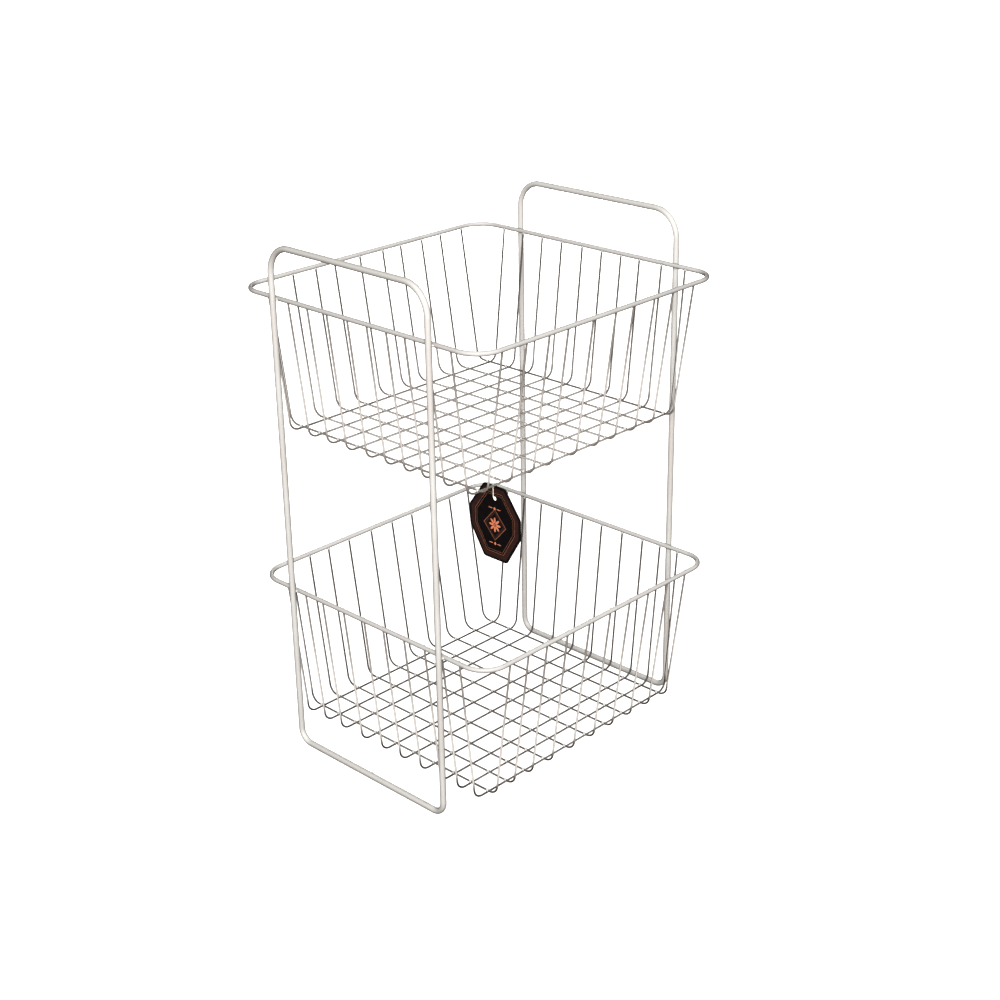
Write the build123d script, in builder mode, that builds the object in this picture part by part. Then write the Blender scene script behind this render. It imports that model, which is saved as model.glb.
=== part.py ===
from build123d import *
import os

# Tiered wire basket in millimetres: two welded wire baskets between two closed side frames, and
# a card tag that swings under the upper basket. X runs from the left frame to the right one, Y
# from the front to the back and Z up. The origin is on the floor, at the centre of the footprint.

os.makedirs("parts", exist_ok=True)

# Side frames: one bent rod each, with a handle bar on top and a floor bar below
frame_rod_diameter = 6.0
leg_spacing = 200.0
handle_rise = 50.0
handle_corner_radius = 26.0
floor_corner_radius = 13.0

# Rims, with their width and depth between rod centres
rim_width = 314.0
rim_depth = 306.0
rim_rod_diameter = 4.5
rim_corner_radius = 24.0

# Heights, stacked from the floor up between rod centres
floor_clearance = 16.5
lower_basket_depth = 150.0
tier_gap = 153.5
upper_basket_depth = 137.0

# Basket wires: width wires run along X, and the depth wires that run along Y lie on them. Each is
# bent to a U whose feet stand in from the rim, past the outermost wires that cross it.
wire_diameter = 2.0
wires_each_way = 10
width_foot_inset = 19.0
depth_foot_inset = 24.0
foot_overhang = 12.0
foot_bend_radius = 10.0
wire_end_rise = 0.3

# How deep two rods sink into each other where they are resistance welded
wire_weld_sink = 0.15
frame_weld_sink = 0.25

# How far each hand-laid wire sits off its even place, in shares of the pitch, from the left
# for depth wires and from the front for width wires
drift_shares = {
    "upper_depth": (0, 0.05, 0.05, -0.1, 0.05, 0.12, -0.03, 0, -0.07, 0),
    "upper_width": (-0.02, 0.06, 0.1, -0.02, -0.08, -0.12, -0.08, -0.08, -0.08, -0.06),
    "lower_depth": (0.15, 0, -0.12, -0.13, -0.04, 0.01, 0.01, 0, 0.01, 0),
    "lower_width": (-0.02, -0.17, -0.3, -0.27, -0.2, -0.2, -0.1, 0.05, 0, -0.02),
}

# Hang tag: an eight-sided card in the plane of the depth wire that it hangs from
tag_wire_number = 2
tag_place_share = 0.3
card_height = 71.5
card_width = 62.0
card_top_width = 25.5
card_bottom_width = 28.0
card_shoulder_height = 25.0
card_taper_height = 28.0
card_thickness = 1.0
card_corner_radius = 2.0
card_hang_drop = 7.0
card_hole_diameter = 4.0
card_hole_drop = 12.5

# String loop: round the wire with running room, and through the card's hole under its top edge
string_diameter = 1.0
string_wire_clearance = 0.3
string_hole_clearance = 0.1

# Heights of the rod centres
lower_base_height = floor_clearance
lower_rim_height = lower_base_height + lower_basket_depth
upper_base_height = lower_rim_height + tier_gap
upper_rim_height = upper_base_height + upper_basket_depth
handle_height = upper_rim_height + handle_rise
floor_bar_height = frame_rod_diameter / 2

# The outermost wires stand in from the feet of the wires that cross them, the rest evenly between
width_foot = rim_width / 2 - width_foot_inset
depth_foot = rim_depth / 2 - depth_foot_inset
depth_wire_pitch = 2 * (width_foot - foot_overhang) / (wires_each_way - 1)
width_wire_pitch = 2 * (depth_foot - foot_overhang) / (wires_each_way - 1)

# Depth wires lie on the width wires, and every wire end stands against the inside of its rim
wire_stack = wire_diameter - wire_weld_sink
rim_to_wire = rim_rod_diameter / 2 + wire_diameter / 2 - wire_weld_sink
frame_offset = rim_width / 2 + rim_rod_diameter / 2 + frame_rod_diameter / 2 - frame_weld_sink
frame_corner_radii = (floor_corner_radius, floor_corner_radius, handle_corner_radius, handle_corner_radius)


def wire_places(pitch, shares):
    """Return the places of one basket's parallel wires across their run, drift included."""
    middle = (wires_each_way - 1) / 2
    return [(index - middle + shares[index]) * pitch for index in range(wires_each_way)]


def wire_corners(rim_half, foot_half, base_height, rim_height):
    """Return the four corners of a U-shaped wire, across and up in its own plane."""
    weld_half = rim_half - rim_to_wire
    lean = (weld_half - foot_half) / (rim_height - base_height)
    end_half = weld_half + lean * wire_end_rise
    end_height = rim_height + wire_end_rise
    return [
        (-end_half, end_height),
        (-foot_half, base_height),
        (foot_half, base_height),
        (end_half, end_height),
    ]


# The two side frames
for frame_name, frame_place in (("left_frame", -frame_offset), ("right_frame", frame_offset)):
    with BuildPart() as frame:
        with BuildLine(Plane.YZ.offset(frame_place)) as frame_route:
            FilletPolyline(
                (-leg_spacing / 2, floor_bar_height),
                (leg_spacing / 2, floor_bar_height),
                (leg_spacing / 2, handle_height),
                (-leg_spacing / 2, handle_height),
                radius=frame_corner_radii,
                close=True,
            )
        frame_wire = frame_route.wire()
        with BuildSketch(Plane(origin=frame_wire @ 0, z_dir=frame_wire % 0)):
            Circle(frame_rod_diameter / 2)
        sweep(path=frame_wire)
    frame.part.label = frame_name
    export_step(frame.part, f"parts/{frame_name}.step")


# The two baskets, each a rim with ten width wires and ten depth wires
tiers = (
    ("lower", lower_base_height, lower_rim_height),
    ("upper", upper_base_height, upper_rim_height),
)

for tier, base_height, rim_height in tiers:
    with BuildPart() as rim:
        with BuildLine(Plane.XY.offset(rim_height)) as rim_route:
            FilletPolyline(
                (-rim_width / 2, -rim_depth / 2),
                (rim_width / 2, -rim_depth / 2),
                (rim_width / 2, rim_depth / 2),
                (-rim_width / 2, rim_depth / 2),
                radius=rim_corner_radius,
                close=True,
            )
        rim_wire = rim_route.wire()
        with BuildSketch(Plane(origin=rim_wire @ 0, z_dir=rim_wire % 0)):
            Circle(rim_rod_diameter / 2)
        sweep(path=rim_wire)
    rim.part.label = f"{tier}_rim"
    export_step(rim.part, f"parts/{tier}_rim.step")

    width_wire_places = wire_places(width_wire_pitch, drift_shares[f"{tier}_width"])
    width_wire_corners = wire_corners(rim_width / 2, width_foot, base_height, rim_height)
    for number, place in enumerate(width_wire_places, start=1):
        with BuildPart() as width_wire:
            with BuildLine(Plane.XZ.offset(-place)) as width_route:
                FilletPolyline(width_wire_corners, radius=foot_bend_radius)
            with BuildSketch(Plane(origin=width_route.line @ 0, z_dir=width_route.line % 0)):
                Circle(wire_diameter / 2)
            sweep(path=width_route.line)
        width_wire.part.label = f"{tier}_width_wire_{number:02d}"
        export_step(width_wire.part, f"parts/{tier}_width_wire_{number:02d}.step")

    depth_base_height = base_height + wire_stack
    depth_wire_places = wire_places(depth_wire_pitch, drift_shares[f"{tier}_depth"])
    depth_wire_corners = wire_corners(rim_depth / 2, depth_foot, depth_base_height, rim_height)
    for number, place in enumerate(depth_wire_places, start=1):
        with BuildPart() as depth_wire:
            with BuildLine(Plane.YZ.offset(place)) as depth_route:
                FilletPolyline(depth_wire_corners, radius=foot_bend_radius)
            with BuildSketch(Plane(origin=depth_route.line @ 0, z_dir=depth_route.line % 0)):
                Circle(wire_diameter / 2)
            sweep(path=depth_route.line)
        depth_wire.part.label = f"{tier}_depth_wire_{number:02d}"
        export_step(depth_wire.part, f"parts/{tier}_depth_wire_{number:02d}.step")


# The tag hangs between the two front width wires of the upper basket, from one depth wire
upper_depth_places = wire_places(depth_wire_pitch, drift_shares["upper_depth"])
upper_width_places = wire_places(width_wire_pitch, drift_shares["upper_width"])
tag_x = upper_depth_places[tag_wire_number - 1]
tag_y = upper_width_places[0] + tag_place_share * (upper_width_places[1] - upper_width_places[0])
tag_wire_height = upper_base_height + wire_stack
card_top = tag_wire_height - card_hang_drop
card_bottom = card_top - card_height
card_hole_height = card_top - card_hole_drop

with BuildPart() as tag_card:
    with BuildSketch(Plane.YZ.offset(tag_x - card_thickness / 2)):
        with BuildLine():
            Polyline(
                (tag_y - card_top_width / 2, card_top),
                (tag_y + card_top_width / 2, card_top),
                (tag_y + card_width / 2, card_top - card_shoulder_height),
                (tag_y + card_width / 2, card_bottom + card_taper_height),
                (tag_y + card_bottom_width / 2, card_bottom),
                (tag_y - card_bottom_width / 2, card_bottom),
                (tag_y - card_width / 2, card_bottom + card_taper_height),
                (tag_y - card_width / 2, card_top - card_shoulder_height),
                close=True,
            )
        outline = make_face()
        fillet(outline.vertices(), radius=card_corner_radius)
        with Locations((tag_y, card_hole_height)):
            Circle(card_hole_diameter / 2, mode=Mode.SUBTRACT)
    extrude(amount=card_thickness)
tag_card.part.label = "tag_card"
export_step(tag_card.part, "parts/tag_card.step")

loop_radius = wire_diameter / 2 + string_wire_clearance + string_diameter / 2
seat_height = card_hole_height + card_hole_diameter / 2 - string_hole_clearance - string_diameter / 2
loop_low = seat_height + loop_radius

with BuildPart() as tag_string:
    with BuildLine(Plane.XZ.offset(-tag_y)) as string_route:
        outer_fall = Line((tag_x - loop_radius, loop_low), (tag_x - loop_radius, tag_wire_height))
        over_wire = JernArc(outer_fall @ 1, outer_fall % 1, radius=loop_radius, arc_size=-180)
        inner_fall = Line(over_wire @ 1, (tag_x + loop_radius, loop_low))
        through_card = JernArc(inner_fall @ 1, inner_fall % 1, radius=loop_radius, arc_size=-180)
    string_wire = string_route.wire()
    with BuildSketch(Plane(origin=string_wire @ 0, z_dir=string_wire % 0)):
        Circle(string_diameter / 2)
    sweep(path=string_wire)
tag_string.part.label = "tag_string"
export_step(tag_string.part, "parts/tag_string.step")
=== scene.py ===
"""Looks of a tiered wire basket: painted rods and wires, their welds, and a swinging card tag."""

import logging
import math
from collections.abc import Callable
from dataclasses import dataclass, field, replace
from enum import Enum
from functools import partial

import bmesh
import bpy
from bmesh.types import BMesh, BMFace, BMVert
from bpy.types import ID, Material, Node, NodeSocket, NodeTree, Object
from mathutils import Matrix, Vector, noise

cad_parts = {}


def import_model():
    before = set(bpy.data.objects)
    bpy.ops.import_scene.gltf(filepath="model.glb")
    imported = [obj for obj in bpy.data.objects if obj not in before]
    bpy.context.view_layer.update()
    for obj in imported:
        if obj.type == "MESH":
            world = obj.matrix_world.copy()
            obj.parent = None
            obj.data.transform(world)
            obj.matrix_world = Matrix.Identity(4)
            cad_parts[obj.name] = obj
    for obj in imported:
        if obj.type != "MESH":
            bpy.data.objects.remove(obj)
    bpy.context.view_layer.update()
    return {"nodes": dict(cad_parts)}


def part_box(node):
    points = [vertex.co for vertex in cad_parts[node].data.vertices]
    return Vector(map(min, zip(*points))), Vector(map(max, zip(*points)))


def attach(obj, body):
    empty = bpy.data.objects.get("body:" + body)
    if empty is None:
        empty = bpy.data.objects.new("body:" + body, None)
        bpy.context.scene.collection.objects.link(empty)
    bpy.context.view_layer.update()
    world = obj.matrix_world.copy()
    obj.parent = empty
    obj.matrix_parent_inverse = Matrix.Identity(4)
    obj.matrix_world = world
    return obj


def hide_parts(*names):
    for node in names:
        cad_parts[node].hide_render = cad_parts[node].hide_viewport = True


log = logging.getLogger("tiered_wire_basket")

MM = 0.001
RACK_BODY = "rack"
TAG_BODY = "hang_tag"
WHITE = "#FFFFFF"
NOISE_MIDDLE = 0.5

# A mix node's sockets for numbers and colours share their names, so these go by their place
SHARE, FROM, TO, MIXED = 0, 6, 7, 2

# The two ends of a range that a pattern is spread over
Span = tuple[float, float]


class Tier(Enum):
    """The two baskets, one above the other."""

    LOWER = "lower"
    UPPER = "upper"


class Run(Enum):
    """The way a basket wire runs: along the width (X) or along the depth (Y)."""

    WIDTH = "width"
    DEPTH = "depth"


class Side(Enum):
    """The two side frames, by the sign of their X place."""

    LEFT = -1
    RIGHT = 1


class Face(Enum):
    """The two faces of the card, by the way that each looks along X."""

    FRONT = -1
    BACK = 1


class Axis(Enum):
    """The two level axes, by their place in a vector."""

    X = 0
    Y = 1


class Print(Enum):
    """The card's printed and foiled areas, by their material number."""

    FIELD = 0
    BAND = 1
    FOIL = 2
    LINE = 3


def linear(hex_colour: str) -> tuple[float, float, float, float]:
    """Turn an sRGB hex colour into the linear colour that shaders take.

    Args:
        hex_colour: Six hex digits, with or without a leading hash.

    Returns:
        Linear red, green and blue, with an alpha of 1.
    """
    digits = hex_colour.lstrip("#")
    channels = [int(digits[start:start + 2], 16) / 255 for start in (0, 2, 4)]
    flat = [c / 12.92 if c <= 0.04045 else ((c + 0.055) / 1.055) ** 2.4 for c in channels]
    return (flat[0], flat[1], flat[2], 1.0)


def per_metre(size: float) -> float:
    """Return the texture scale whose features are about one size, in metres, across."""
    return 1.0 / size


def add_node(
    tree: NodeTree, kind: str, inputs: dict | None = None, **settings: object
) -> Node:
    """Add a node with its settings, values and links.

    Args:
        tree: The node tree that takes the node.
        kind: The node's type, without its ShaderNode stem.
        inputs: Values or sockets for the node's inputs, by name or place.
        **settings: The node's own properties.

    Returns:
        The new node.
    """
    node = tree.nodes.new(f"ShaderNode{kind}")
    for name, value in settings.items():
        setattr(node, name, value)
    for key, value in (inputs or {}).items():
        if isinstance(value, NodeSocket):
            tree.links.new(value, node.inputs[key])
        else:
            node.inputs[key].default_value = value
    return node


def new_material(name: str) -> tuple[Material, Callable[..., Node]]:
    """Make an empty node material.

    Args:
        name: The finish's own name.

    Returns:
        The material, and add_node for its tree.
    """
    material = bpy.data.materials.new(name)
    material.use_nodes = True
    material.node_tree.nodes.clear()
    return material, partial(add_node, material.node_tree)


@dataclass(frozen=True)
class PowderCoat:
    """Polyester powder coat, sprayed dry on steel rod and baked.

    It gives a thick satin skin with a faint orange peel, darker where the rod turns away.
    """

    name: str
    paint: str
    thin_paint: str
    tinted_paint: str
    bar_painted_shade: str
    # Where the paint passes to the painted shade on the bars that run from front to back
    bar_axis: Axis
    bar_span: Span
    # A clear skin lies over the colour. It is thickest to look through where the rod turns away
    clear_skin: str = "#C0BFBD"
    skin_ior: float = 1.02
    skin_roughness: float = 0.3
    ior: float = 1.5
    roughness: float = 0.42
    sheen_spread: float = 0.09
    cloud_size: float = 45.0 * MM
    cloud_span: Span = (0.38, 0.66)
    tint_size: float = 95.0 * MM
    tint_span: Span = (0.45, 0.62)
    tint_share: float = 0.8
    tint_seed: float = 3.7
    peel_size: float = 1.3 * MM
    peel_depth: float = 0.009 * MM
    # Specks of cured powder are under 0.1 mm, too fine to show, so they are drawn coarser
    speck_size: float = 0.5 * MM
    speck_span: Span = (0.3, 0.7)

    def build(self) -> Material:
        """Build the paint.

        Returns:
            Its node material.
        """
        material, add = new_material(self.name)
        place = add("TexCoord").outputs["Object"]
        # Dry powder lands unevenly on bent rod, so the tone drifts where the skin is thin
        cloud = add("TexNoise", {
            "Vector": place, "Scale": per_metre(self.cloud_size), "Detail": 3.0, "Roughness": 0.6})
        thin = add("MapRange", {
            "Value": cloud.outputs["Fac"], "From Min": self.cloud_span[0],
            "From Max": self.cloud_span[1]})
        body = add("Mix", {
            SHARE: thin.outputs["Result"], FROM: linear(self.paint), TO: linear(self.thin_paint)},
            data_type="RGBA")
        # Longer stretches differ in the oven, which leaves a slight tint on some runs of rod
        drift = add("TexNoise", {
            "Vector": place, "W": self.tint_seed, "Scale": per_metre(self.tint_size),
            "Detail": 1.0}, noise_dimensions="4D")
        baked = add("MapRange", {
            "Value": drift.outputs["Fac"], "From Min": self.tint_span[0],
            "From Max": self.tint_span[1], "To Max": self.tint_share})
        tinted = add("Mix", {
            SHARE: baked.outputs["Result"], FROM: body.outputs[MIXED],
            TO: linear(self.tinted_paint)}, data_type="RGBA")
        # The bars that run from front to back get a little painted shade, greyer than the rest
        away = add("VectorMath", {0: place}, operation="ABSOLUTE")
        split = add("SeparateXYZ", {"Vector": away.outputs["Vector"]})
        bar = add("MapRange", {
            "Value": split.outputs[self.bar_axis.value], "From Min": self.bar_span[0],
            "From Max": self.bar_span[1]}, interpolation_type="SMOOTHSTEP")
        colour = add("Mix", {
            SHARE: bar.outputs["Result"], FROM: tinted.outputs[MIXED], TO: linear(self.bar_painted_shade)},
            data_type="RGBA")
        # Fine specks of cured powder break up the highlight
        speck = add("TexNoise", {
            "Vector": place, "Scale": per_metre(self.speck_size), "Detail": 1.0})
        rough = add("MapRange", {
            "Value": speck.outputs["Fac"], "From Min": self.speck_span[0],
            "From Max": self.speck_span[1], "To Min": self.roughness - self.sheen_spread,
            "To Max": self.roughness + self.sheen_spread})
        peel = add("TexNoise", {"Vector": place, "Scale": per_metre(self.peel_size), "Detail": 2.0})
        bump = add("Bump", {
            "Strength": 0.5, "Distance": self.peel_depth, "Height": peel.outputs["Fac"]})
        shader = add("BsdfPrincipled", {
            "Base Color": colour.outputs[MIXED], "Roughness": rough.outputs["Result"],
            "IOR": self.ior, "Coat Weight": 1.0, "Coat Roughness": self.skin_roughness,
            "Coat IOR": self.skin_ior, "Coat Tint": linear(self.clear_skin),
            "Normal": bump.outputs["Normal"]})
        add("OutputMaterial", {"Surface": shader.outputs["BSDF"]})
        return material


@dataclass(frozen=True)
class EnamelWireWithPaintedShade:
    """White enamel on drawn wire, with painted shade.

    It is white where it faces out of the basket, and dark grey painted shade where it faces in.
    """

    name: str
    rim_height: float
    half_width: float
    half_depth: float
    basket_depth: float
    # How much painted light from above lightens the floor's wires, a negative gain giving painted
    # shade, and how far random patches shift the edge of the painted shade
    floor_painted_light_gain: float = 0.32
    patch_gain: float = 0.9
    # Over this span a face passes from painted shade to white, by how far it turns out
    painted_light_span: Span = (-0.65, 0.05)
    # Heights under the rim, in shares of the basket's depth, and how far the way out leans down
    near_rim_span: Span = (-0.2, -0.62)
    bend_span: Span = (-0.86, -0.94)
    wall_span: Span = (-0.94, -0.86)
    # In turn: the enamel's white and its random patches, a darker grey near the rim, painted shade
    # in the bends, and two tones of painted shade on the side within
    full_cover: str = "#F3F0ED"
    worn_cover: str = "#CFCAC5"
    rim_cover: str = "#9A9591"
    bend_painted_shade: str = "#958F8A"
    inner_painted_shade: str = "#615E5C"
    # The darkest tone of the painted shade on the side within
    steel: str = "#474442"
    clear_skin: str = "#C9C7C5"
    skin_ior: float = 1.02
    skin_roughness: float = 0.3
    ior: float = 1.5
    roughness: float = 0.4
    rough_spread: float = 0.1
    patch_size: float = 18.0 * MM
    # Drawing lines run along real wire at 0.05 mm, too fine to show, so they are a coarser mottle
    mottle_size: float = 0.6 * MM
    mottle_depth: float = 0.015 * MM

    def build(self) -> Material:
        """Build the enamel.

        Returns:
            Its node material.
        """
        material, add = new_material(self.name)
        place = add("TexCoord").outputs["Object"]
        facing = add("NewGeometry").outputs["Normal"]
        # The way out of the basket: down at its floor, and sideways at its walls
        inside = add("VectorMath", {
            0: place, 1: (0.0, 0.0, self.rim_height)}, operation="SUBTRACT").outputs["Vector"]
        shares = (1 / self.half_width, 1 / self.half_depth, 1 / self.basket_depth)
        share = add("VectorMath", {0: inside, 1: shares}, operation="MULTIPLY").outputs["Vector"]
        cube = share
        for _ in range(2):
            cube = add("VectorMath", {0: cube, 1: share}, operation="MULTIPLY").outputs["Vector"]
        outward = add("VectorMath", {0: cube}, operation="NORMALIZE").outputs["Vector"]
        # How far each face turns out of the basket, which sets where the painted shade falls
        outward_facing = add("VectorMath", {0: outward, 1: facing}, operation="DOT_PRODUCT").outputs["Value"]
        patch = add("TexNoise", {
            "Vector": place, "Scale": per_metre(self.patch_size), "Detail": 3.0,
            "Roughness": 0.6}).outputs["Fac"]
        spread = add("Math", {0: patch, 1: NOISE_MIDDLE}, operation="SUBTRACT").outputs["Value"]
        uneven = add("Math", {
            0: spread, 1: self.patch_gain, 2: outward_facing}, operation="MULTIPLY_ADD").outputs["Value"]
        # The floor's wires, whose way out is down, get painted light from above; a negative gain
        # gives them painted shade instead
        lean = add("SeparateXYZ", {"Vector": outward}).outputs["Z"]
        painted_light_share = add("Math", {
            0: lean, 1: -self.floor_painted_light_gain, 2: uneven}, operation="MULTIPLY_ADD").outputs["Value"]
        # Near the rim the wires are a darker grey. Painted shade darkens the tight bends between
        # wall and floor
        drop = add("SeparateXYZ", {"Vector": share}).outputs["Z"]
        # The first share is the painted shade's mask, by how far a face turns out
        sprayed, near_rim_share, low, wall = (
            add("MapRange", {
                "Value": value, "From Min": span[0], "From Max": span[1]},
                interpolation_type="SMOOTHSTEP").outputs["Result"]
            for value, span in (
                (painted_light_share, self.painted_light_span), (drop, self.near_rim_span),
                (drop, self.bend_span), (lean, self.wall_span)))
        bend = add("Math", {0: low, 1: wall}, operation="MULTIPLY").outputs["Value"]
        mottle = add("TexNoise", {
            "Vector": place, "Scale": per_metre(self.mottle_size), "Detail": 2.0}).outputs["Fac"]
        # Each layer of colour covers the one before it by its share
        # The side within is painted shade, a dark grey mottled darker
        within = add("Mix", {
            SHARE: mottle, FROM: linear(self.inner_painted_shade), TO: linear(self.steel)},
            data_type="RGBA").outputs[MIXED]
        outside = add("Mix", {
            SHARE: patch, FROM: linear(self.full_cover), TO: linear(self.worn_cover)},
            data_type="RGBA").outputs[MIXED]
        rim_toned = add("Mix", {
            SHARE: near_rim_share, FROM: linear(self.rim_cover), TO: outside},
            data_type="RGBA").outputs[MIXED]
        # Painted shade darkens the bends between wall and floor
        skin = add("Mix", {
            SHARE: bend, FROM: rim_toned, TO: linear(self.bend_painted_shade)}, data_type="RGBA").outputs[MIXED]
        # Faces that turn out are white, faces that turn in get the painted shade
        body = add("Mix", {SHARE: sprayed, FROM: within, TO: skin}, data_type="RGBA").outputs[MIXED]
        rough = add("MapRange", {
            "Value": mottle, "To Min": self.roughness - self.rough_spread,
            "To Max": self.roughness + self.rough_spread}).outputs["Result"]
        bump = add("Bump", {
            "Strength": 0.4, "Distance": self.mottle_depth, "Height": mottle}).outputs["Normal"]
        shader = add("BsdfPrincipled", {
            "Base Color": body, "Roughness": rough, "IOR": self.ior, "Coat Weight": 1.0,
            "Coat Roughness": self.skin_roughness, "Coat IOR": self.skin_ior,
            "Coat Tint": linear(self.clear_skin), "Normal": bump})
        add("OutputMaterial", {"Surface": shader.outputs["BSDF"]})
        return material


@dataclass(frozen=True)
class PrintedBoard:
    """Solid ink on coated paperboard, pressed flat: matt, with a fine tooth and pale rubs."""

    name: str
    ink: str
    rubbed_ink: str
    ior: float = 1.45
    gloss: float = 0.06
    roughness: float = 0.58
    rough_spread: float = 0.1
    # The board's tooth is about 0.1 mm, too fine to show, so it is drawn coarser
    tooth_size: float = 0.45 * MM
    tooth_depth: float = 0.02 * MM
    rub_size: float = 7.0 * MM
    rub_span: Span = (0.42, 0.78)

    def build(self) -> Material:
        """Build the ink.

        Returns:
            Its node material.
        """
        material, add = new_material(self.name)
        place = add("TexCoord").outputs["Object"]
        rub = add("TexNoise", {
            "Vector": place, "Scale": per_metre(self.rub_size), "Detail": 5.0, "Roughness": 0.7})
        pale = add("MapRange", {
            "Value": rub.outputs["Fac"], "From Min": self.rub_span[0],
            "From Max": self.rub_span[1]})
        body = add("Mix", {
            SHARE: pale.outputs["Result"], FROM: linear(self.ink), TO: linear(self.rubbed_ink)},
            data_type="RGBA")
        tooth = add("TexNoise", {
            "Vector": place, "Scale": per_metre(self.tooth_size), "Detail": 2.0})
        rough = add("MapRange", {
            "Value": tooth.outputs["Fac"], "To Min": self.roughness - self.rough_spread,
            "To Max": self.roughness + self.rough_spread})
        bump = add("Bump", {
            "Strength": 0.5, "Distance": self.tooth_depth, "Height": tooth.outputs["Fac"]})
        shader = add("BsdfPrincipled", {
            "Base Color": body.outputs[MIXED], "Roughness": rough.outputs["Result"],
            "IOR": self.ior, "Specular IOR Level": self.gloss, "Normal": bump.outputs["Normal"]})
        add("OutputMaterial", {"Surface": shader.outputs["BSDF"]})
        return material


@dataclass(frozen=True)
class CopperFoil:
    """Hot-stamped copper foil: thin bright metal with the board's tooth, a little broken up."""

    name: str = "hot_stamped_copper_foil"
    foil: str = "#EC8D67"
    worn_foil: str = "#B86041"
    metallic: float = 0.45
    roughness: float = 0.33
    grain_size: float = 0.6 * MM
    grain_depth: float = 0.02 * MM
    grain_span: Span = (0.45, 0.75)

    def build(self) -> Material:
        """Build the foil.

        Returns:
            Its node material.
        """
        material, add = new_material(self.name)
        place = add("TexCoord").outputs["Object"]
        grain = add("TexNoise", {
            "Vector": place, "Scale": per_metre(self.grain_size), "Detail": 4.0, "Roughness": 0.65})
        worn = add("MapRange", {
            "Value": grain.outputs["Fac"], "From Min": self.grain_span[0],
            "From Max": self.grain_span[1]})
        body = add("Mix", {
            SHARE: worn.outputs["Result"], FROM: linear(self.foil), TO: linear(self.worn_foil)},
            data_type="RGBA")
        bump = add("Bump", {
            "Strength": 0.4, "Distance": self.grain_depth, "Height": grain.outputs["Fac"]})
        shader = add("BsdfPrincipled", {
            "Base Color": body.outputs[MIXED], "Metallic": self.metallic,
            "Roughness": self.roughness, "Normal": bump.outputs["Normal"]})
        add("OutputMaterial", {"Surface": shader.outputs["BSDF"]})
        return material


@dataclass(frozen=True)
class CottonThread:
    """Bleached two-ply cotton, spun and twisted: soft, matt and a little hairy."""

    name: str = "twisted_cotton_thread"
    fibre: str = "#F6F2EA"
    shade: str = "#CFC8BB"
    roughness: float = 0.85
    sheen: float = 0.3
    # Cotton fibres are about 0.015 mm thick, too fine to show, so they are drawn coarser
    fibre_size: float = 0.14 * MM
    fibre_depth: float = fibre_size / 3

    def build(self) -> Material:
        """Build the thread.

        Returns:
            Its node material.
        """
        material, add = new_material(self.name)
        place = add("TexCoord").outputs["Object"]
        fibre = add("TexNoise", {
            "Vector": place, "Scale": per_metre(self.fibre_size), "Detail": 3.0})
        body = add("Mix", {
            SHARE: fibre.outputs["Fac"], FROM: linear(self.fibre), TO: linear(self.shade)},
            data_type="RGBA")
        bump = add("Bump", {
            "Strength": 0.7, "Distance": self.fibre_depth, "Height": fibre.outputs["Fac"]})
        shader = add("BsdfPrincipled", {
            "Base Color": body.outputs[MIXED], "Roughness": self.roughness,
            "Sheen Weight": self.sheen, "Normal": bump.outputs["Normal"]})
        add("OutputMaterial", {"Surface": shader.outputs["BSDF"]})
        return material


def add_object(name: str, data: ID) -> Object:
    """Put data into the scene as an object.

    Args:
        name: The object's name.
        data: Its mesh, curve, light or camera.

    Returns:
        The new object.
    """
    thing = bpy.data.objects.new(name, data)
    bpy.context.scene.collection.objects.link(thing)
    return thing


def finish_piece(
    name: str, shape: BMesh, body: str,
    materials: list[Material], smooth: bool = True
) -> Object:
    """Turn a bmesh into a piece that rides on a body.

    Args:
        name: The piece's name.
        shape: The finished shape, in place. It is freed here.
        body: The body that the piece moves with.
        materials: The piece's materials, in the order of its faces' material numbers.
        smooth: Whether its faces are shaded smooth.

    Returns:
        The new object.
    """
    bmesh.ops.recalc_face_normals(shape, faces=shape.faces)
    for face in shape.faces:
        face.smooth = smooth
    mesh = bpy.data.meshes.new(name)
    shape.to_mesh(mesh)
    shape.free()
    for material in materials:
        mesh.materials.append(material)
    piece = add_object(name, mesh)
    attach(piece, body)
    log.info("%s: %d faces on %s", name, len(mesh.polygons), body)
    return piece


def dress_node(node: Object, material: Material) -> None:
    """Give a carried-over piece one material, in all its slots.

    Args:
        node: The piece.
        material: Its finish.
    """
    node.data.materials.clear()
    node.data.materials.append(material)
    log.info("%s: dressed in %s", node.name, material.name)


def add_blob(shape: BMesh, centre: Vector, halves: Vector, detail: int = 2) -> None:
    """Add one squashed ball of weld or paint.

    Args:
        shape: The bmesh that takes it.
        centre: Its middle.
        halves: Its half sizes.
        detail: How finely it is divided.
    """
    place = Matrix.Translation(centre) @ Matrix.Diagonal((*halves, 1.0))
    bmesh.ops.create_icosphere(shape, subdivisions=detail, radius=1.0, matrix=place)


def make_lumpy(shape: BMesh, size: float, depth: float) -> None:
    """Push a shape's surface in and out a little, as melted metal sets.

    Args:
        shape: The shape.
        size: How far apart the lumps are.
        depth: How high they stand.
    """
    shape.normal_update()
    for vertex in shape.verts:
        vertex.co += vertex.normal * noise.noise(vertex.co / size) * depth


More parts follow.
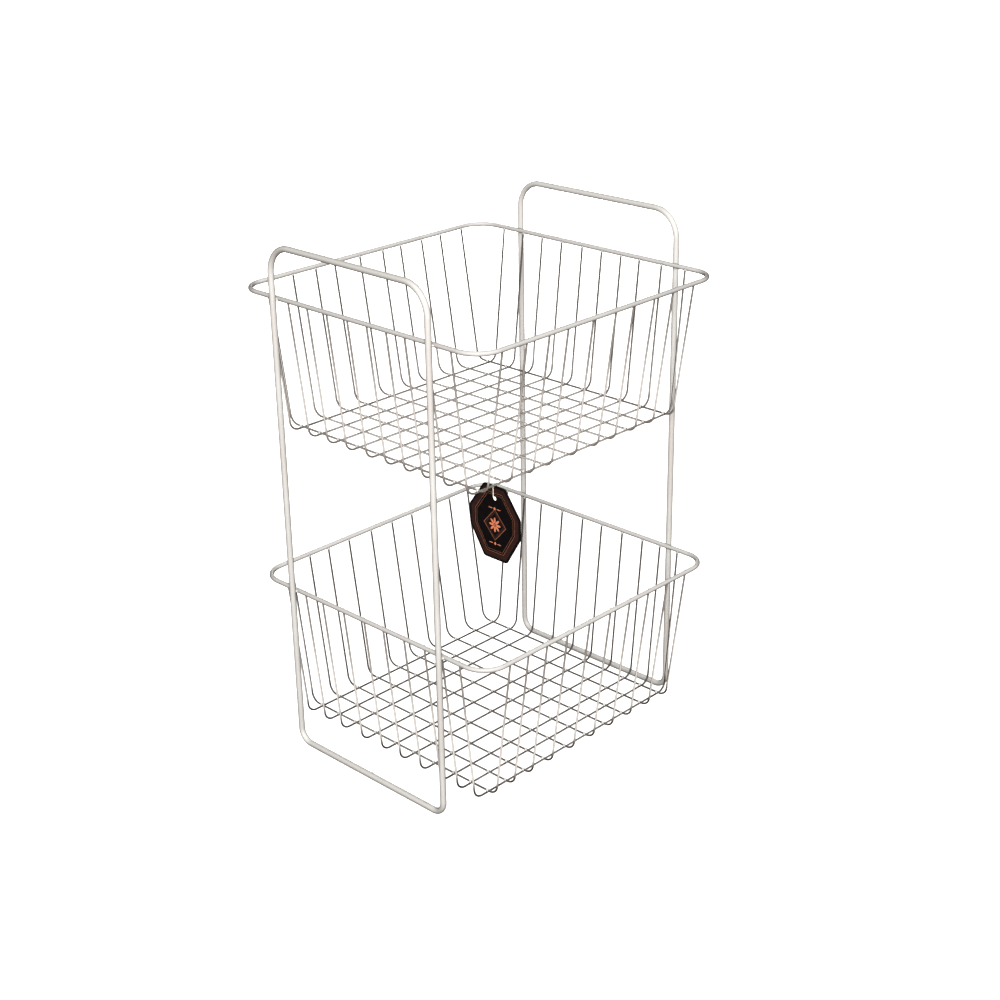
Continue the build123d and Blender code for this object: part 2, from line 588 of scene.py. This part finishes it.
@dataclass
class WireBasket:
    """One basket: its rim, its two layers of wires, and the welds and paint that join them."""

    tier: Tier
    nodes: dict[str, Object]
    rim_paint: Material
    floor_paint: Material
    wires_each_way: int = 10
    floor_weld_spread: float = 0.85 * MM
    rim_weld_height: float = 4.0 * MM
    rim_weld_spread: float = 0.45 * MM
    # The welds' half sizes and stand in shares of the wire's radius, and their drop in the rim's
    floor_weld_share: float = 1.6
    rim_weld_share: float = 1.25
    rim_weld_stand: float = 0.9
    rim_weld_drop: float = 0.5
    lump_size: float = 1.4 * MM
    lump_depth: float = 0.12 * MM
    seam_length: float = 2.4 * MM
    seam_rise: float = 0.2 * MM
    rim_box: tuple[Vector, Vector] = field(init=False)
    rim_radius: float = field(init=False)
    wire_radius: float = field(init=False)

    def __post_init__(self) -> None:
        """Read the rim's place and the rods' sizes from the frame."""
        self.rim_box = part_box(f"{self.tier.value}_rim")
        self.rim_radius = (self.rim_box[1].z - self.rim_box[0].z) / 2
        low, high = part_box(self.wire_names(Run.WIDTH)[0])
        self.wire_radius = (high.y - low.y) / 2

    def wire_names(self, run: Run) -> list[str]:
        """Return the names of the basket's wires that run one way."""
        stem = f"{self.tier.value}_{run.value}_wire"
        return [f"{stem}_{number:02d}" for number in range(1, self.wires_each_way + 1)]

    def wire_place(self, name: str, run: Run) -> float:
        """Return where a wire stands across its run."""
        low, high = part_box(name)
        return (low.y + high.y) / 2 if run is Run.WIDTH else (low.x + high.x) / 2

    def rim_height(self) -> float:
        """Return the height of the rim's rod centre."""
        return (self.rim_box[0].z + self.rim_box[1].z) / 2

    def wire_finish(self) -> EnamelWireWithPaintedShade:
        """Choose the wires' enamel, with its painted shade set round this basket.

        Returns:
            The wires' finish.
        """
        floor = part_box(self.wire_names(Run.WIDTH)[0])[0].z
        finish = EnamelWireWithPaintedShade(
            f"{self.tier.value}_enamel_wire_with_painted_shade", rim_height=self.rim_height(),
            half_width=self.rim_box[1].x, half_depth=self.rim_box[1].y,
            basket_depth=self.rim_height() - floor)
        if self.tier is Tier.UPPER:
            return finish
        # The lower basket stands under the upper one, so its floor, bends and inner side get darker
        # painted shade
        return replace(
            finish, floor_painted_light_gain=-0.3, worn_cover="#E0DCD8", bend_painted_shade="#504B47",
            inner_painted_shade="#504D4B", steel="#373432", clear_skin="#D4D2D0")

    def dress(self) -> None:
        """Paint the rim and every wire."""
        wire_paint = self.wire_finish().build()
        dress_node(self.nodes[f"{self.tier.value}_rim"], self.rim_paint)
        for run in Run:
            for name in self.wire_names(run):
                dress_node(self.nodes[name], wire_paint)

    def build_floor_welds(self) -> None:
        """Build the small cushions of weld and pooled paint where the floor's wires cross."""
        shape = bmesh.new()
        across = self.wire_radius + self.floor_weld_spread
        halves = Vector((across, across, self.wire_radius * self.floor_weld_share))
        upper = max(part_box(self.wire_names(run)[0])[0].z for run in Run) + self.wire_radius
        for depth_wire in self.wire_names(Run.DEPTH):
            for width_wire in self.wire_names(Run.WIDTH):
                crossing = Vector((
                    self.wire_place(depth_wire, Run.DEPTH),
                    self.wire_place(width_wire, Run.WIDTH), upper))
                add_blob(shape, crossing, halves)
        make_lumpy(shape, self.lump_size, self.lump_depth)
        finish_piece(
            f"{self.tier.value}_floor_welds", shape, RACK_BODY, [self.floor_paint])

    def build_rim_welds(self) -> None:
        """Build the painted beads that hold the wire ends to the inside of the rim."""
        shape = bmesh.new()
        wide = self.wire_radius + self.rim_weld_spread
        deep = self.wire_radius * self.rim_weld_share
        height = self.rim_height() - self.rim_radius * self.rim_weld_drop
        for run in Run:
            edge = self.rim_box[1].x if run is Run.WIDTH else self.rim_box[1].y
            stand = edge - 2 * self.rim_radius - self.wire_radius * self.rim_weld_stand
            level = (deep, wide) if run is Run.WIDTH else (wide, deep)
            halves = Vector((*level, self.rim_weld_height / 2))
            for name in self.wire_names(run):
                place = self.wire_place(name, run)
                for end in (-1, 1):
                    spot = (end * stand, place) if run is Run.WIDTH else (place, end * stand)
                    add_blob(shape, Vector((*spot, height)), halves)
        make_lumpy(shape, self.lump_size, self.lump_depth)
        finish_piece(
            f"{self.tier.value}_rim_welds", shape, RACK_BODY, [self.rim_paint])

    def build_rim_seam(self) -> None:
        """Build the low ring of weld where the rim's rod closes, at the middle of the back."""
        shape = bmesh.new()
        back = self.rim_box[1].y - self.rim_radius - self.seam_rise
        ring = self.rim_radius + self.seam_rise
        halves = Vector((self.seam_length / 2, ring, ring))
        add_blob(shape, Vector((0.0, back, self.rim_height())), halves, detail=3)
        finish_piece(
            f"{self.tier.value}_rim_seam", shape, RACK_BODY, [self.rim_paint])


@dataclass
class SideFrame:
    """One closed rod frame: two legs, a handle bar and a floor bar, with its welds to both rims."""

    side: Side
    nodes: dict[str, Object]
    paint: Material
    baskets: list[WireBasket]
    # Each weld is a core between two lower beads, set out in shares of the rod's radius
    bead_spread: float = 1.5 * MM
    bead_height: float = 2.3 * MM
    bead_place: float = 0.75
    bead_stretch: float = 1.3
    bead_squash: float = 1.5
    core_share: float = 0.9
    lump_size: float = 2.2 * MM
    lump_depth: float = 0.3 * MM
    seam_length: float = 3.0 * MM
    seam_rise: float = 0.22 * MM

    def node_name(self) -> str:
        """Return the name of the frame's node."""
        return f"{self.side.name.lower()}_frame"

    def dress(self) -> None:
        """Paint the rod frame."""
        dress_node(self.nodes[self.node_name()], self.paint)

    def build_welds(self) -> None:
        """Build the four lumpy welds between legs and rims, and the floor bar's closing seam."""
        shape = bmesh.new()
        low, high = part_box(self.node_name())
        rod = (high.x - low.x) / 2
        bead = Vector((
            self.bead_spread, self.bead_spread * self.bead_stretch,
            self.bead_height / self.bead_squash))
        core = Vector((rod / 2, rod * self.core_share, self.bead_height))
        for basket in self.baskets:
            contact, height = self.side.value * basket.rim_box[1].x, basket.rim_height()
            for leg in (low.y + rod, high.y - rod):
                for side in (-1, 1):
                    place = leg + side * rod * self.bead_place
                    add_blob(shape, Vector((contact, place, height)), bead, detail=3)
                add_blob(shape, Vector((contact, leg, height)), core, detail=3)
        make_lumpy(shape, self.lump_size, self.lump_depth)
        ring = rod + self.seam_rise
        middle = (low.x + high.x) / 2 - self.side.value * self.seam_rise
        seam = Vector((middle, 0.0, low.z + ring))
        add_blob(shape, seam, Vector((ring, self.seam_length / 2, ring)), detail=3)
        finish_piece(f"{self.node_name()}_welds", shape, RACK_BODY, [self.paint])


@dataclass
class TagCard:
    """The eight-sided card: thick board with a printed band, foiled keylines and an ornament."""

    # The finishes, in the order of Print
    inks: list[Material]
    top_width: float = 25.5 * MM
    bottom_width: float = 28.0 * MM
    shoulder_height: float = 25.0 * MM
    taper_height: float = 28.0 * MM
    corner_radius: float = 2.0 * MM
    edge_softness: float = 0.22 * MM
    # How far the surface turns at the least over a corner, and over the edge of a face
    corner_turn: float = math.radians(25)
    edge_turn: float = math.radians(60)
    # The most that a wall's normal has along X
    wall_lean: float = 0.5
    hole_radius: float = 2.0 * MM
    hole_drop: float = 12.5 * MM
    hole_sides: int = 28
    # Widths of the printed rings from the edge inwards
    plain_edge: float = 2.4 * MM
    band_width: float = 4.6 * MM
    outer_keyline: float = 0.3 * MM
    keyline_gap: float = 1.6 * MM
    inner_keyline: float = 0.24 * MM
    # How far the foil stands off the board, and the height of its wall in shares of that
    foil_rise: float = 0.05 * MM
    foil_wall: float = 1.6
    ornament_drop: float = 2.0 * MM
    lozenge_width: float = 13.0 * MM
    lozenge_height: float = 14.5 * MM
    # The lozenge's layers: how much wider and taller each is, its print and its rise
    layers: tuple[tuple[float, float, Print, float], ...] = (
        (0.6 * MM, 0.6 * MM, Print.LINE, 0.02 * MM),
        (0.0, 0.0, Print.BAND, 0.03 * MM),
        (-3.2 * MM, -3.6 * MM, Print.FIELD, 0.04 * MM))
    petals: int = 8
    petal_length: float = 5.8 * MM
    petal_width: float = 2.2 * MM
    # How far a petal's middle is from the rosette's, in shares of its length
    petal_reach: float = 0.72
    heart_radius: float = 0.8 * MM
    # The marks above and below: a small lozenge between two dashes
    mark_heights: tuple[float, float] = (13.6 * MM, -20.0 * MM)
    mark_half: float = 1.5 * MM
    dash_length: float = 5.0 * MM
    dash_width: float = 0.9 * MM
    dash_place: float = 4.95 * MM
    low: Vector = field(init=False)
    high: Vector = field(init=False)

    def __post_init__(self) -> None:
        """Read the card's box from the frame."""
        self.low, self.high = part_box("tag_card")

    def middle(self) -> float:
        """Return the card's middle along Y."""
        return (self.low.y + self.high.y) / 2

    def corners(self) -> list[tuple[float, float]]:
        """Work out the card's eight corners.

        Returns:
            The corners along Y and Z, in order round its outline.
        """
        middle, half = self.middle(), (self.high.y - self.low.y) / 2
        shoulder, taper = self.high.z - self.shoulder_height, self.low.z + self.taper_height
        return [
            (middle - self.top_width / 2, self.high.z), (middle + self.top_width / 2, self.high.z),
            (middle + half, shoulder), (middle + half, taper),
            (middle + self.bottom_width / 2, self.low.z),
            (middle - self.bottom_width / 2, self.low.z),
            (middle - half, taper), (middle - half, shoulder)]

    def print_face(self, shape: BMesh, board: BMFace) -> None:
        """Divide the card's face into its printed rings, and punch its hole.

        Args:
            shape: The bmesh with the face.
            board: The face, which is deleted here.
        """
        rings = (
            (self.plain_edge, Print.FIELD), (self.band_width, Print.BAND),
            (self.outer_keyline, Print.LINE), (self.keyline_gap, Print.FIELD),
            (self.inner_keyline, Print.LINE))
        for width, ink in rings:
            ring = bmesh.ops.inset_region(
                shape, faces=[board], thickness=width, depth=0.0, use_even_offset=True,
                use_boundary=True)
            for face in ring["faces"]:
                face.material_index = ink.value
        # The middle is filled anew round the hole
        outer = list(board.edges)
        bmesh.ops.delete(shape, geom=[board], context="FACES_ONLY")
        centre = (self.low.x, self.middle(), self.high.z - self.hole_drop)
        place = Matrix.Translation(centre) @ Matrix.Rotation(math.pi / 2, 4, "Y")
        circle = bmesh.ops.create_circle(
            shape, cap_ends=False, segments=self.hole_sides, radius=self.hole_radius, matrix=place)
        inner = list({edge for vertex in circle["verts"] for edge in vertex.link_edges})
        filled = bmesh.ops.triangle_fill(
            shape, use_beauty=True, edges=outer + inner, normal=(-1, 0, 0))
        for item in filled["geom"]:
            if isinstance(item, BMFace):
                item.material_index = Print.FIELD.value

    def soften(self, shape: BMesh) -> None:
        """Round the card's corners and take the sharpness off its edges.

        Args:
            shape: The card in its full thickness.
        """
        walls = [face for face in shape.faces if abs(face.normal.x) < self.wall_lean]
        for face in walls:
            face.material_index = Print.FIELD.value
        upright = [
            edge for edge in shape.edges
            if len(edge.link_faces) == 2 and all(face in walls for face in edge.link_faces)
            and edge.calc_face_angle() > self.corner_turn]
        bmesh.ops.bevel(
            shape, geom=upright, offset=self.corner_radius, segments=5, profile=0.5,
            affect="EDGES", material=-1)
        shape.normal_update()
        rims = [
            edge for edge in shape.edges
            if len(edge.link_faces) == 2 and edge.calc_face_angle() > self.edge_turn]
        bmesh.ops.bevel(
            shape, geom=rims, offset=self.edge_softness, segments=2, profile=0.5,
            affect="EDGES", material=-1)

    def build_board(self) -> None:
        """Build the board with its printed rings, its hole and its softened edges."""
        shape = bmesh.new()
        outline = [shape.verts.new((self.low.x, *corner)) for corner in self.corners()]
        board = shape.faces.new(outline)
        shape.normal_update()
        if board.normal.x > 0:
            bmesh.ops.reverse_faces(shape, faces=[board])
        self.print_face(shape, board)
        bmesh.ops.recalc_face_normals(shape, faces=shape.faces)
        if sum(face.normal.x for face in shape.faces) > 0:
            bmesh.ops.reverse_faces(shape, faces=shape.faces)
        thickness = self.high.x - self.low.x
        bmesh.ops.solidify(shape, geom=list(shape.faces), thickness=thickness)
        bmesh.ops.recalc_face_normals(shape, faces=shape.faces)
        shape.normal_update()
        self.soften(shape)
        offset = self.low.x - min(vertex.co.x for vertex in shape.verts)
        bmesh.ops.translate(shape, verts=shape.verts, vec=(offset, 0.0, 0.0))
        piece = finish_piece("tag_board", shape, TAG_BODY, self.inks, smooth=False)
        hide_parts("tag_card")

    def stamp(
        self, shape: BMesh, look: Face, spot: tuple[float, float],
        halves: tuple[float, float], turn: float = 0.0, sides: int = 4,
        ink: Print = Print.FOIL, rise: float = foil_rise
    ) -> None:
        """Stamp one flat ellipse, lozenge or bar on a face of the card.

        Args:
            shape: The bmesh that takes it.
            look: The face of the card.
            spot: Its middle along Y and up from the card's middle height.
            halves: Its half sizes along Y and Z before it is turned.
            turn: Its turn in the card's plane.
            sides: How many sides it has. Four give a lozenge.
            ink: Its finish.
            rise: How far it stands off the board.
        """
        plane = self.low.x - rise if look is Face.FRONT else self.high.x + rise
        height = (self.low.z + self.high.z) / 2 + spot[1]
        place = (
            Matrix.Translation((plane, self.middle() + spot[0], height))
            @ Matrix.Rotation(turn, 4, "X") @ Matrix.Diagonal((1.0, halves[0], halves[1], 1.0))
            @ Matrix.Rotation(math.pi / 2, 4, "Y"))
        disc = bmesh.ops.create_circle(
            shape, cap_ends=True, segments=sides, radius=1.0, matrix=place)
        top = list({face for vertex in disc["verts"] for face in vertex.link_faces})
        wall = bmesh.ops.extrude_face_region(shape, geom=top)
        moved = [item for item in wall["geom"] if isinstance(item, BMVert)]
        inwards = -look.value * rise * self.foil_wall
        bmesh.ops.translate(shape, verts=moved, vec=(inwards, 0.0, 0.0))
        for face in {face for vertex in disc["verts"] + moved for face in vertex.link_faces}:
            face.material_index = ink.value

    def build_ornament(self) -> None:
        """Build the stamped ornament: a rosette in a lozenge, with marks above and below it."""
        shape = bmesh.new()
        centre = (0.0, -self.ornament_drop)
        reach = self.petal_length * self.petal_reach
        petal_halves = (self.petal_width / 2, self.petal_length / 2)
        dash_halves = (self.dash_length / 2, self.dash_width / 2)
        for look in Face:
            for wider, taller, ink, rise in self.layers:
                halves = (self.lozenge_width + wider, self.lozenge_height + taller)
                self.stamp(shape, look, centre, halves, ink=ink, rise=rise)
            for petal in range(self.petals):
                turn = math.tau * petal / self.petals
                spot = (-math.sin(turn) * reach, math.cos(turn) * reach - self.ornament_drop)
                self.stamp(shape, look, spot, petal_halves, turn=turn, sides=12)
            self.stamp(shape, look, centre, (self.heart_radius, self.heart_radius), sides=16)
            for height in self.mark_heights:
                self.stamp(shape, look, (0.0, height), (self.mark_half, self.mark_half))
                for side in (-1, 1):
                    spot = (side * self.dash_place, height)
                    self.stamp(shape, look, spot, dash_halves, sides=8)
        finish_piece("tag_ornament", shape, TAG_BODY, self.inks, smooth=False)


@dataclass
class TagString:
    """The cotton loop that hangs the card: two twisted plies, closed by a small wound knot."""

    thread: Material
    # The diameter of the solid string in the frame
    thickness: float = 1.0 * MM
    ply_radius: float = 0.21 * MM
    ply_offset: float = 0.19 * MM
    twist_pitch: float = 2.2 * MM
    # The knot's place: down from the loop's top, and in from its side in shares of its width
    knot_drop: float = 5.2 * MM
    knot_inset: float = 0.14
    knot_turns: int = 3
    knot_sides: int = 16
    knot_radius: float = 0.62 * MM
    knot_height: float = 1.5 * MM
    # How much thicker than a ply the knot's coil and the tails are
    knot_gain: float = 1.5
    tail_gain: float = 1.3
    tail_length: float = 4.5 * MM
    tail_lean: float = 0.35 * MM
    tail_start: float = 0.5 * MM
    tail_spread: float = 1.68 * MM
    tail_steps: int = 6
    tail_curve: float = 1.3
    merge_gap: float = 0.002 * MM
    low: Vector = field(init=False)
    high: Vector = field(init=False)

    def __post_init__(self) -> None:
        """Read the string's box from the frame."""
        self.low, self.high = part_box("tag_string")

    def middle(self) -> Vector:
        """Return the middle of the string's box."""
        return (self.low + self.high) / 2

    def pour_curve(
        self, shape: BMesh, kind: str, points: list[Vector], closed: bool = True,
        radius: float = 0.0
    ) -> None:
        """Add the mesh of a curve that follows points.

        Args:
            shape: The bmesh that takes it.
            kind: The curve's spline type, smooth or straight.
            points: The points.
            closed: Whether its end meets its start.
            radius: Its radius as a round ply, or nothing for a bare line.
        """
        curve = bpy.data.curves.new("strand", "CURVE")
        curve.dimensions = "3D"
        curve.resolution_u = 40
        curve.bevel_depth = radius
        curve.bevel_resolution = 2
        curve.use_fill_caps = not closed
        spline = curve.splines.new(kind)
        spline.points.add(len(points) - 1)
        for stop, point in zip(spline.points, points):
            stop.co = (*point, 1.0)
        spline.order_u = 3
        spline.use_cyclic_u = closed
        strand = add_object("strand", curve)
        mesh = bpy.data.meshes.new_from_object(strand)
        shape.from_mesh(mesh)
        bpy.data.objects.remove(strand)
        bpy.data.curves.remove(curve)
        bpy.data.meshes.remove(mesh)

    def route(self) -> list[Vector]:
        """Read evenly spread points from the closed loop's centre line.

        Returns:
            The points, up the outer side, over the wire, down the inner side and through the hole.
        """
        middle = self.middle()
        radius = (self.high.x - self.low.x - self.thickness) / 2
        top = self.high.z - self.thickness / 2 - radius
        bottom = self.low.z + self.thickness / 2 + radius
        levels = (bottom, (bottom * 2 + top) / 3, (bottom + top * 2) / 3, top, top + radius)
        stops = [(-radius, level) for level in levels]
        stops += [(radius, level) for level in reversed(levels)]
        stops += [(radius, bottom - radius), (-radius, bottom - radius)]
        shape = bmesh.new()
        self.pour_curve(shape, "NURBS", [
            Vector((middle.x + across, middle.y, height)) for across, height in stops])
        points = [vertex.co.copy() for vertex in shape.verts]
        shape.free()
        return points

    def twist_plies(self, shape: BMesh) -> None:
        """Add the loop's two plies, twisted together.

        Args:
            shape: The bmesh that takes them.
        """
        points = self.route()
        count = len(points)
        length = sum((points[i] - points[i - 1]).length for i in range(count))
        turns = round(length / self.twist_pitch)
        level = Vector((0.0, 1.0, 0.0))
        for ply in range(2):
            strand = []
            for index, point in enumerate(points):
                along = (points[(index + 1) % count] - points[index - 1]).normalized()
                across = along.cross(level).normalized()
                angle = math.tau * turns * index / count + math.pi * ply
                strand.append(point + self.ply_offset * (
                    across * math.cos(angle) + level * math.sin(angle)))
            self.pour_curve(shape, "POLY", strand, radius=self.ply_radius)

    def tie_knot(self, shape: BMesh) -> None:
        """Add the small wound knot on the loop's inner side, and its two tails.

        Args:
            shape: The bmesh that takes them.
        """
        side = self.high.x - (self.high.x - self.low.x) * self.knot_inset
        knot = Vector((side, self.middle().y, self.high.z - self.knot_drop))
        steps = self.knot_sides * self.knot_turns
        coil = []
        for step in range(steps + 1):
            angle = math.tau * step / self.knot_sides
            coil.append(knot + Vector((
                math.cos(angle) * self.knot_radius, math.sin(angle) * self.knot_radius,
                (step / steps - 0.5) * self.knot_height)))
        self.pour_curve(shape, "POLY", coil, closed=False, radius=self.ply_radius * self.knot_gain)
        shares = [step / self.tail_steps for step in range(self.tail_steps + 1)]
        for way in (-1, 1):
            tail = [
                knot + Vector((
                    self.tail_lean * share, way * (self.tail_start + self.tail_spread * share),
                    -self.tail_length * share ** self.tail_curve)) for share in shares]
            thick = self.ply_radius * self.tail_gain
            self.pour_curve(shape, "POLY", tail, closed=False, radius=thick)

    def build(self) -> None:
        """Build the twisted loop, its knot and the knot's two short tails."""
        shape = bmesh.new()
        self.twist_plies(shape)
        self.tie_knot(shape)
        bmesh.ops.remove_doubles(shape, verts=shape.verts, dist=self.merge_gap)
        piece = finish_piece("tag_loop", shape, TAG_BODY, [self.thread])
        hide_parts("tag_string")


@dataclass
class Studio:
    """The pale floor, the soft lights and the camera at the photograph's angle."""

    azimuth: float = -45.84
    elevation: float = 23.34
    roll: float = -0.94
    distance: float = 1685.0 * MM
    aim_right: float = 15.5 * MM
    aim_height: float = 238.1 * MM
    lens: float = 62.75
    sensor_width: float = 36.0
    clip_span: Span = (0.01, 100.0)
    floor_half: float = 6.0
    floor_glow: float = 0.955
    floor_paper: str = "#B8B6B4"
    # What the object gets from the floor is darker, so that little light is thrown upwards
    floor_shade: str = "#5A524C"
    softbox_distance: float = 2.4
    softbox_size: float = 0.9
    key_power: float = 64.0
    key_shift: float = -0.12
    back_power: float = 60.0
    back_rise: float = 0.1
    light_height: float = 0.25
    surround: str = "#FDFCFB"
    surround_glow: float = 1.6
    backdrop_glow: float = 1.1

    def camera_axes(self) -> tuple[Vector, Vector, Vector]:
        """Work out how the camera is turned.

        Returns:
            Its right, up and backward directions.
        """
        turn, lift, lean = (math.radians(a) for a in (self.azimuth, self.elevation, self.roll))
        back = Vector((
            math.sin(turn) * math.cos(lift), -math.cos(turn) * math.cos(lift), math.sin(lift)))
        right = Vector((math.cos(turn), math.sin(turn), 0.0))
        up = back.cross(right)
        rolled_right = right * math.cos(lean) + up * math.sin(lean)
        rolled_up = up * math.cos(lean) - right * math.sin(lean)
        return rolled_right, rolled_up, back

    def build_camera(self) -> None:
        """Place the camera where the photograph was taken from."""
        right, up, back = self.camera_axes()
        turn = math.radians(self.azimuth)
        level_right = Vector((math.cos(turn), math.sin(turn), 0.0))
        target = level_right * self.aim_right + Vector((0.0, 0.0, self.aim_height))
        data = bpy.data.cameras.new("camera")
        data.lens = self.lens
        data.sensor_width = self.sensor_width
        data.clip_start, data.clip_end = self.clip_span
        camera = add_object("camera", data)
        facing = Matrix((right, up, back)).transposed().to_4x4()
        camera.matrix_world = Matrix.Translation(target + back * self.distance) @ facing
        bpy.context.scene.camera = camera

    def build_floor(self) -> None:
        """Lay the plain pale floor, which glows a little so that it stays even."""
        shape = bmesh.new()
        bmesh.ops.create_grid(shape, x_segments=1, y_segments=1, size=self.floor_half)
        mesh = bpy.data.meshes.new("floor")
        shape.to_mesh(mesh)
        shape.free()
        material, add = new_material("pale_paper_sweep")
        path = add("LightPath")
        dim = add("BsdfDiffuse", {"Color": linear(self.floor_shade)})
        pale = add("BsdfDiffuse", {"Color": linear(self.floor_paper)})
        glow = add("Emission", {"Color": linear(WHITE), "Strength": self.floor_glow})
        sweep = add("AddShader", {0: pale.outputs["BSDF"], 1: glow.outputs["Emission"]})
        both = add("MixShader", {
            0: path.outputs["Is Camera Ray"], 1: dim.outputs["BSDF"], 2: sweep.outputs["Shader"]})
        add("OutputMaterial", {"Surface": both.outputs["Shader"]})
        mesh.materials.append(material)
        floor = add_object("floor", mesh)

    def add_softbox(self, name: str, place: Vector, power: float, aim: Vector) -> None:
        """Hang one square soft light.

        Args:
            name: The light's name.
            place: Where it hangs.
            power: Its power in watts.
            aim: The point that it faces.
        """
        data = bpy.data.lights.new(name, "AREA")
        data.size = self.softbox_size
        data.energy = power
        light = add_object(name, data)
        light.location = place
        light.rotation_mode = "QUATERNION"
        light.rotation_quaternion = (aim - place).to_track_quat("-Z", "Y")
        light.visible_camera = False

    def build_lights(self) -> None:
        """Light the object softly from the camera's side and from behind, in an even surround."""
        right, _, back = self.camera_axes()
        middle = Vector((0.0, 0.0, self.light_height))
        key = middle + back * self.softbox_distance + right * self.key_shift
        self.add_softbox("key_softbox", key, self.key_power, middle)
        away = Vector((-back.x, -back.y, self.back_rise)).normalized()
        behind = middle + away * self.softbox_distance
        self.add_softbox("back_softbox", behind, self.back_power, middle)
        world = bpy.data.worlds.new("studio_surround")
        world.use_nodes = True
        world.node_tree.nodes.clear()
        add = partial(add_node, world.node_tree)
        path = add("LightPath")
        seen = add("Background", {"Color": linear(WHITE), "Strength": self.backdrop_glow})
        lit = add("Background", {"Color": linear(self.surround), "Strength": self.surround_glow})
        both = add("MixShader", {
            0: path.outputs["Is Camera Ray"], 1: lit.outputs["Background"],
            2: seen.outputs["Background"]})
        add("OutputWorld", {"Surface": both.outputs["Shader"]})
        bpy.context.scene.world = world
        bpy.context.scene.view_settings.view_transform = "Standard"


def main() -> None:
    """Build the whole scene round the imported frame."""
    logging.basicConfig(level=logging.INFO, format="%(message)s")
    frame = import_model()
    nodes = frame["nodes"]

    frame_paint = PowderCoat(
        "cream_powder_coated_rod", paint="#FBFAF8", thin_paint="#F2F0EE", tinted_paint="#F0EBE8",
        bar_painted_shade="#E6E4E2", bar_axis=Axis.Y, bar_span=(98.0 * MM, 80.0 * MM)).build()
    rim_paint = PowderCoat(
        "pale_grey_powder_coated_rod", paint="#FAF9F7", thin_paint="#ECEAE9",
        tinted_paint="#EFECEE", bar_painted_shade="#E3E1E0", bar_axis=Axis.X,
        bar_span=(134.0 * MM, 154.0 * MM), clear_skin="#BFBEBC").build()
    inks = [
        PrintedBoard("matt_black_board", ink="#050304", rubbed_ink="#0C0808").build(),
        PrintedBoard("dark_brown_printed_board", ink="#22120F", rubbed_ink="#2D1914").build(),
        CopperFoil().build(),
        CopperFoil("fine_lines_of_copper_foil", foil="#A96A52", worn_foil="#6B3E30").build()]
    thread = CottonThread().build()

    baskets = [WireBasket(tier, nodes, rim_paint, frame_paint) for tier in Tier]
    for basket in baskets:
        basket.dress()
        basket.build_floor_welds()
        basket.build_rim_welds()
        basket.build_rim_seam()
    for side in Side:
        side_frame = SideFrame(side, nodes, frame_paint, baskets)
        side_frame.dress()
        side_frame.build_welds()
    card = TagCard(inks)
    card.build_board()
    card.build_ornament()
    TagString(thread).build()

    studio = Studio()
    studio.build_camera()
    studio.build_floor()
    studio.build_lights()


if __name__ == "__main__":
    main()
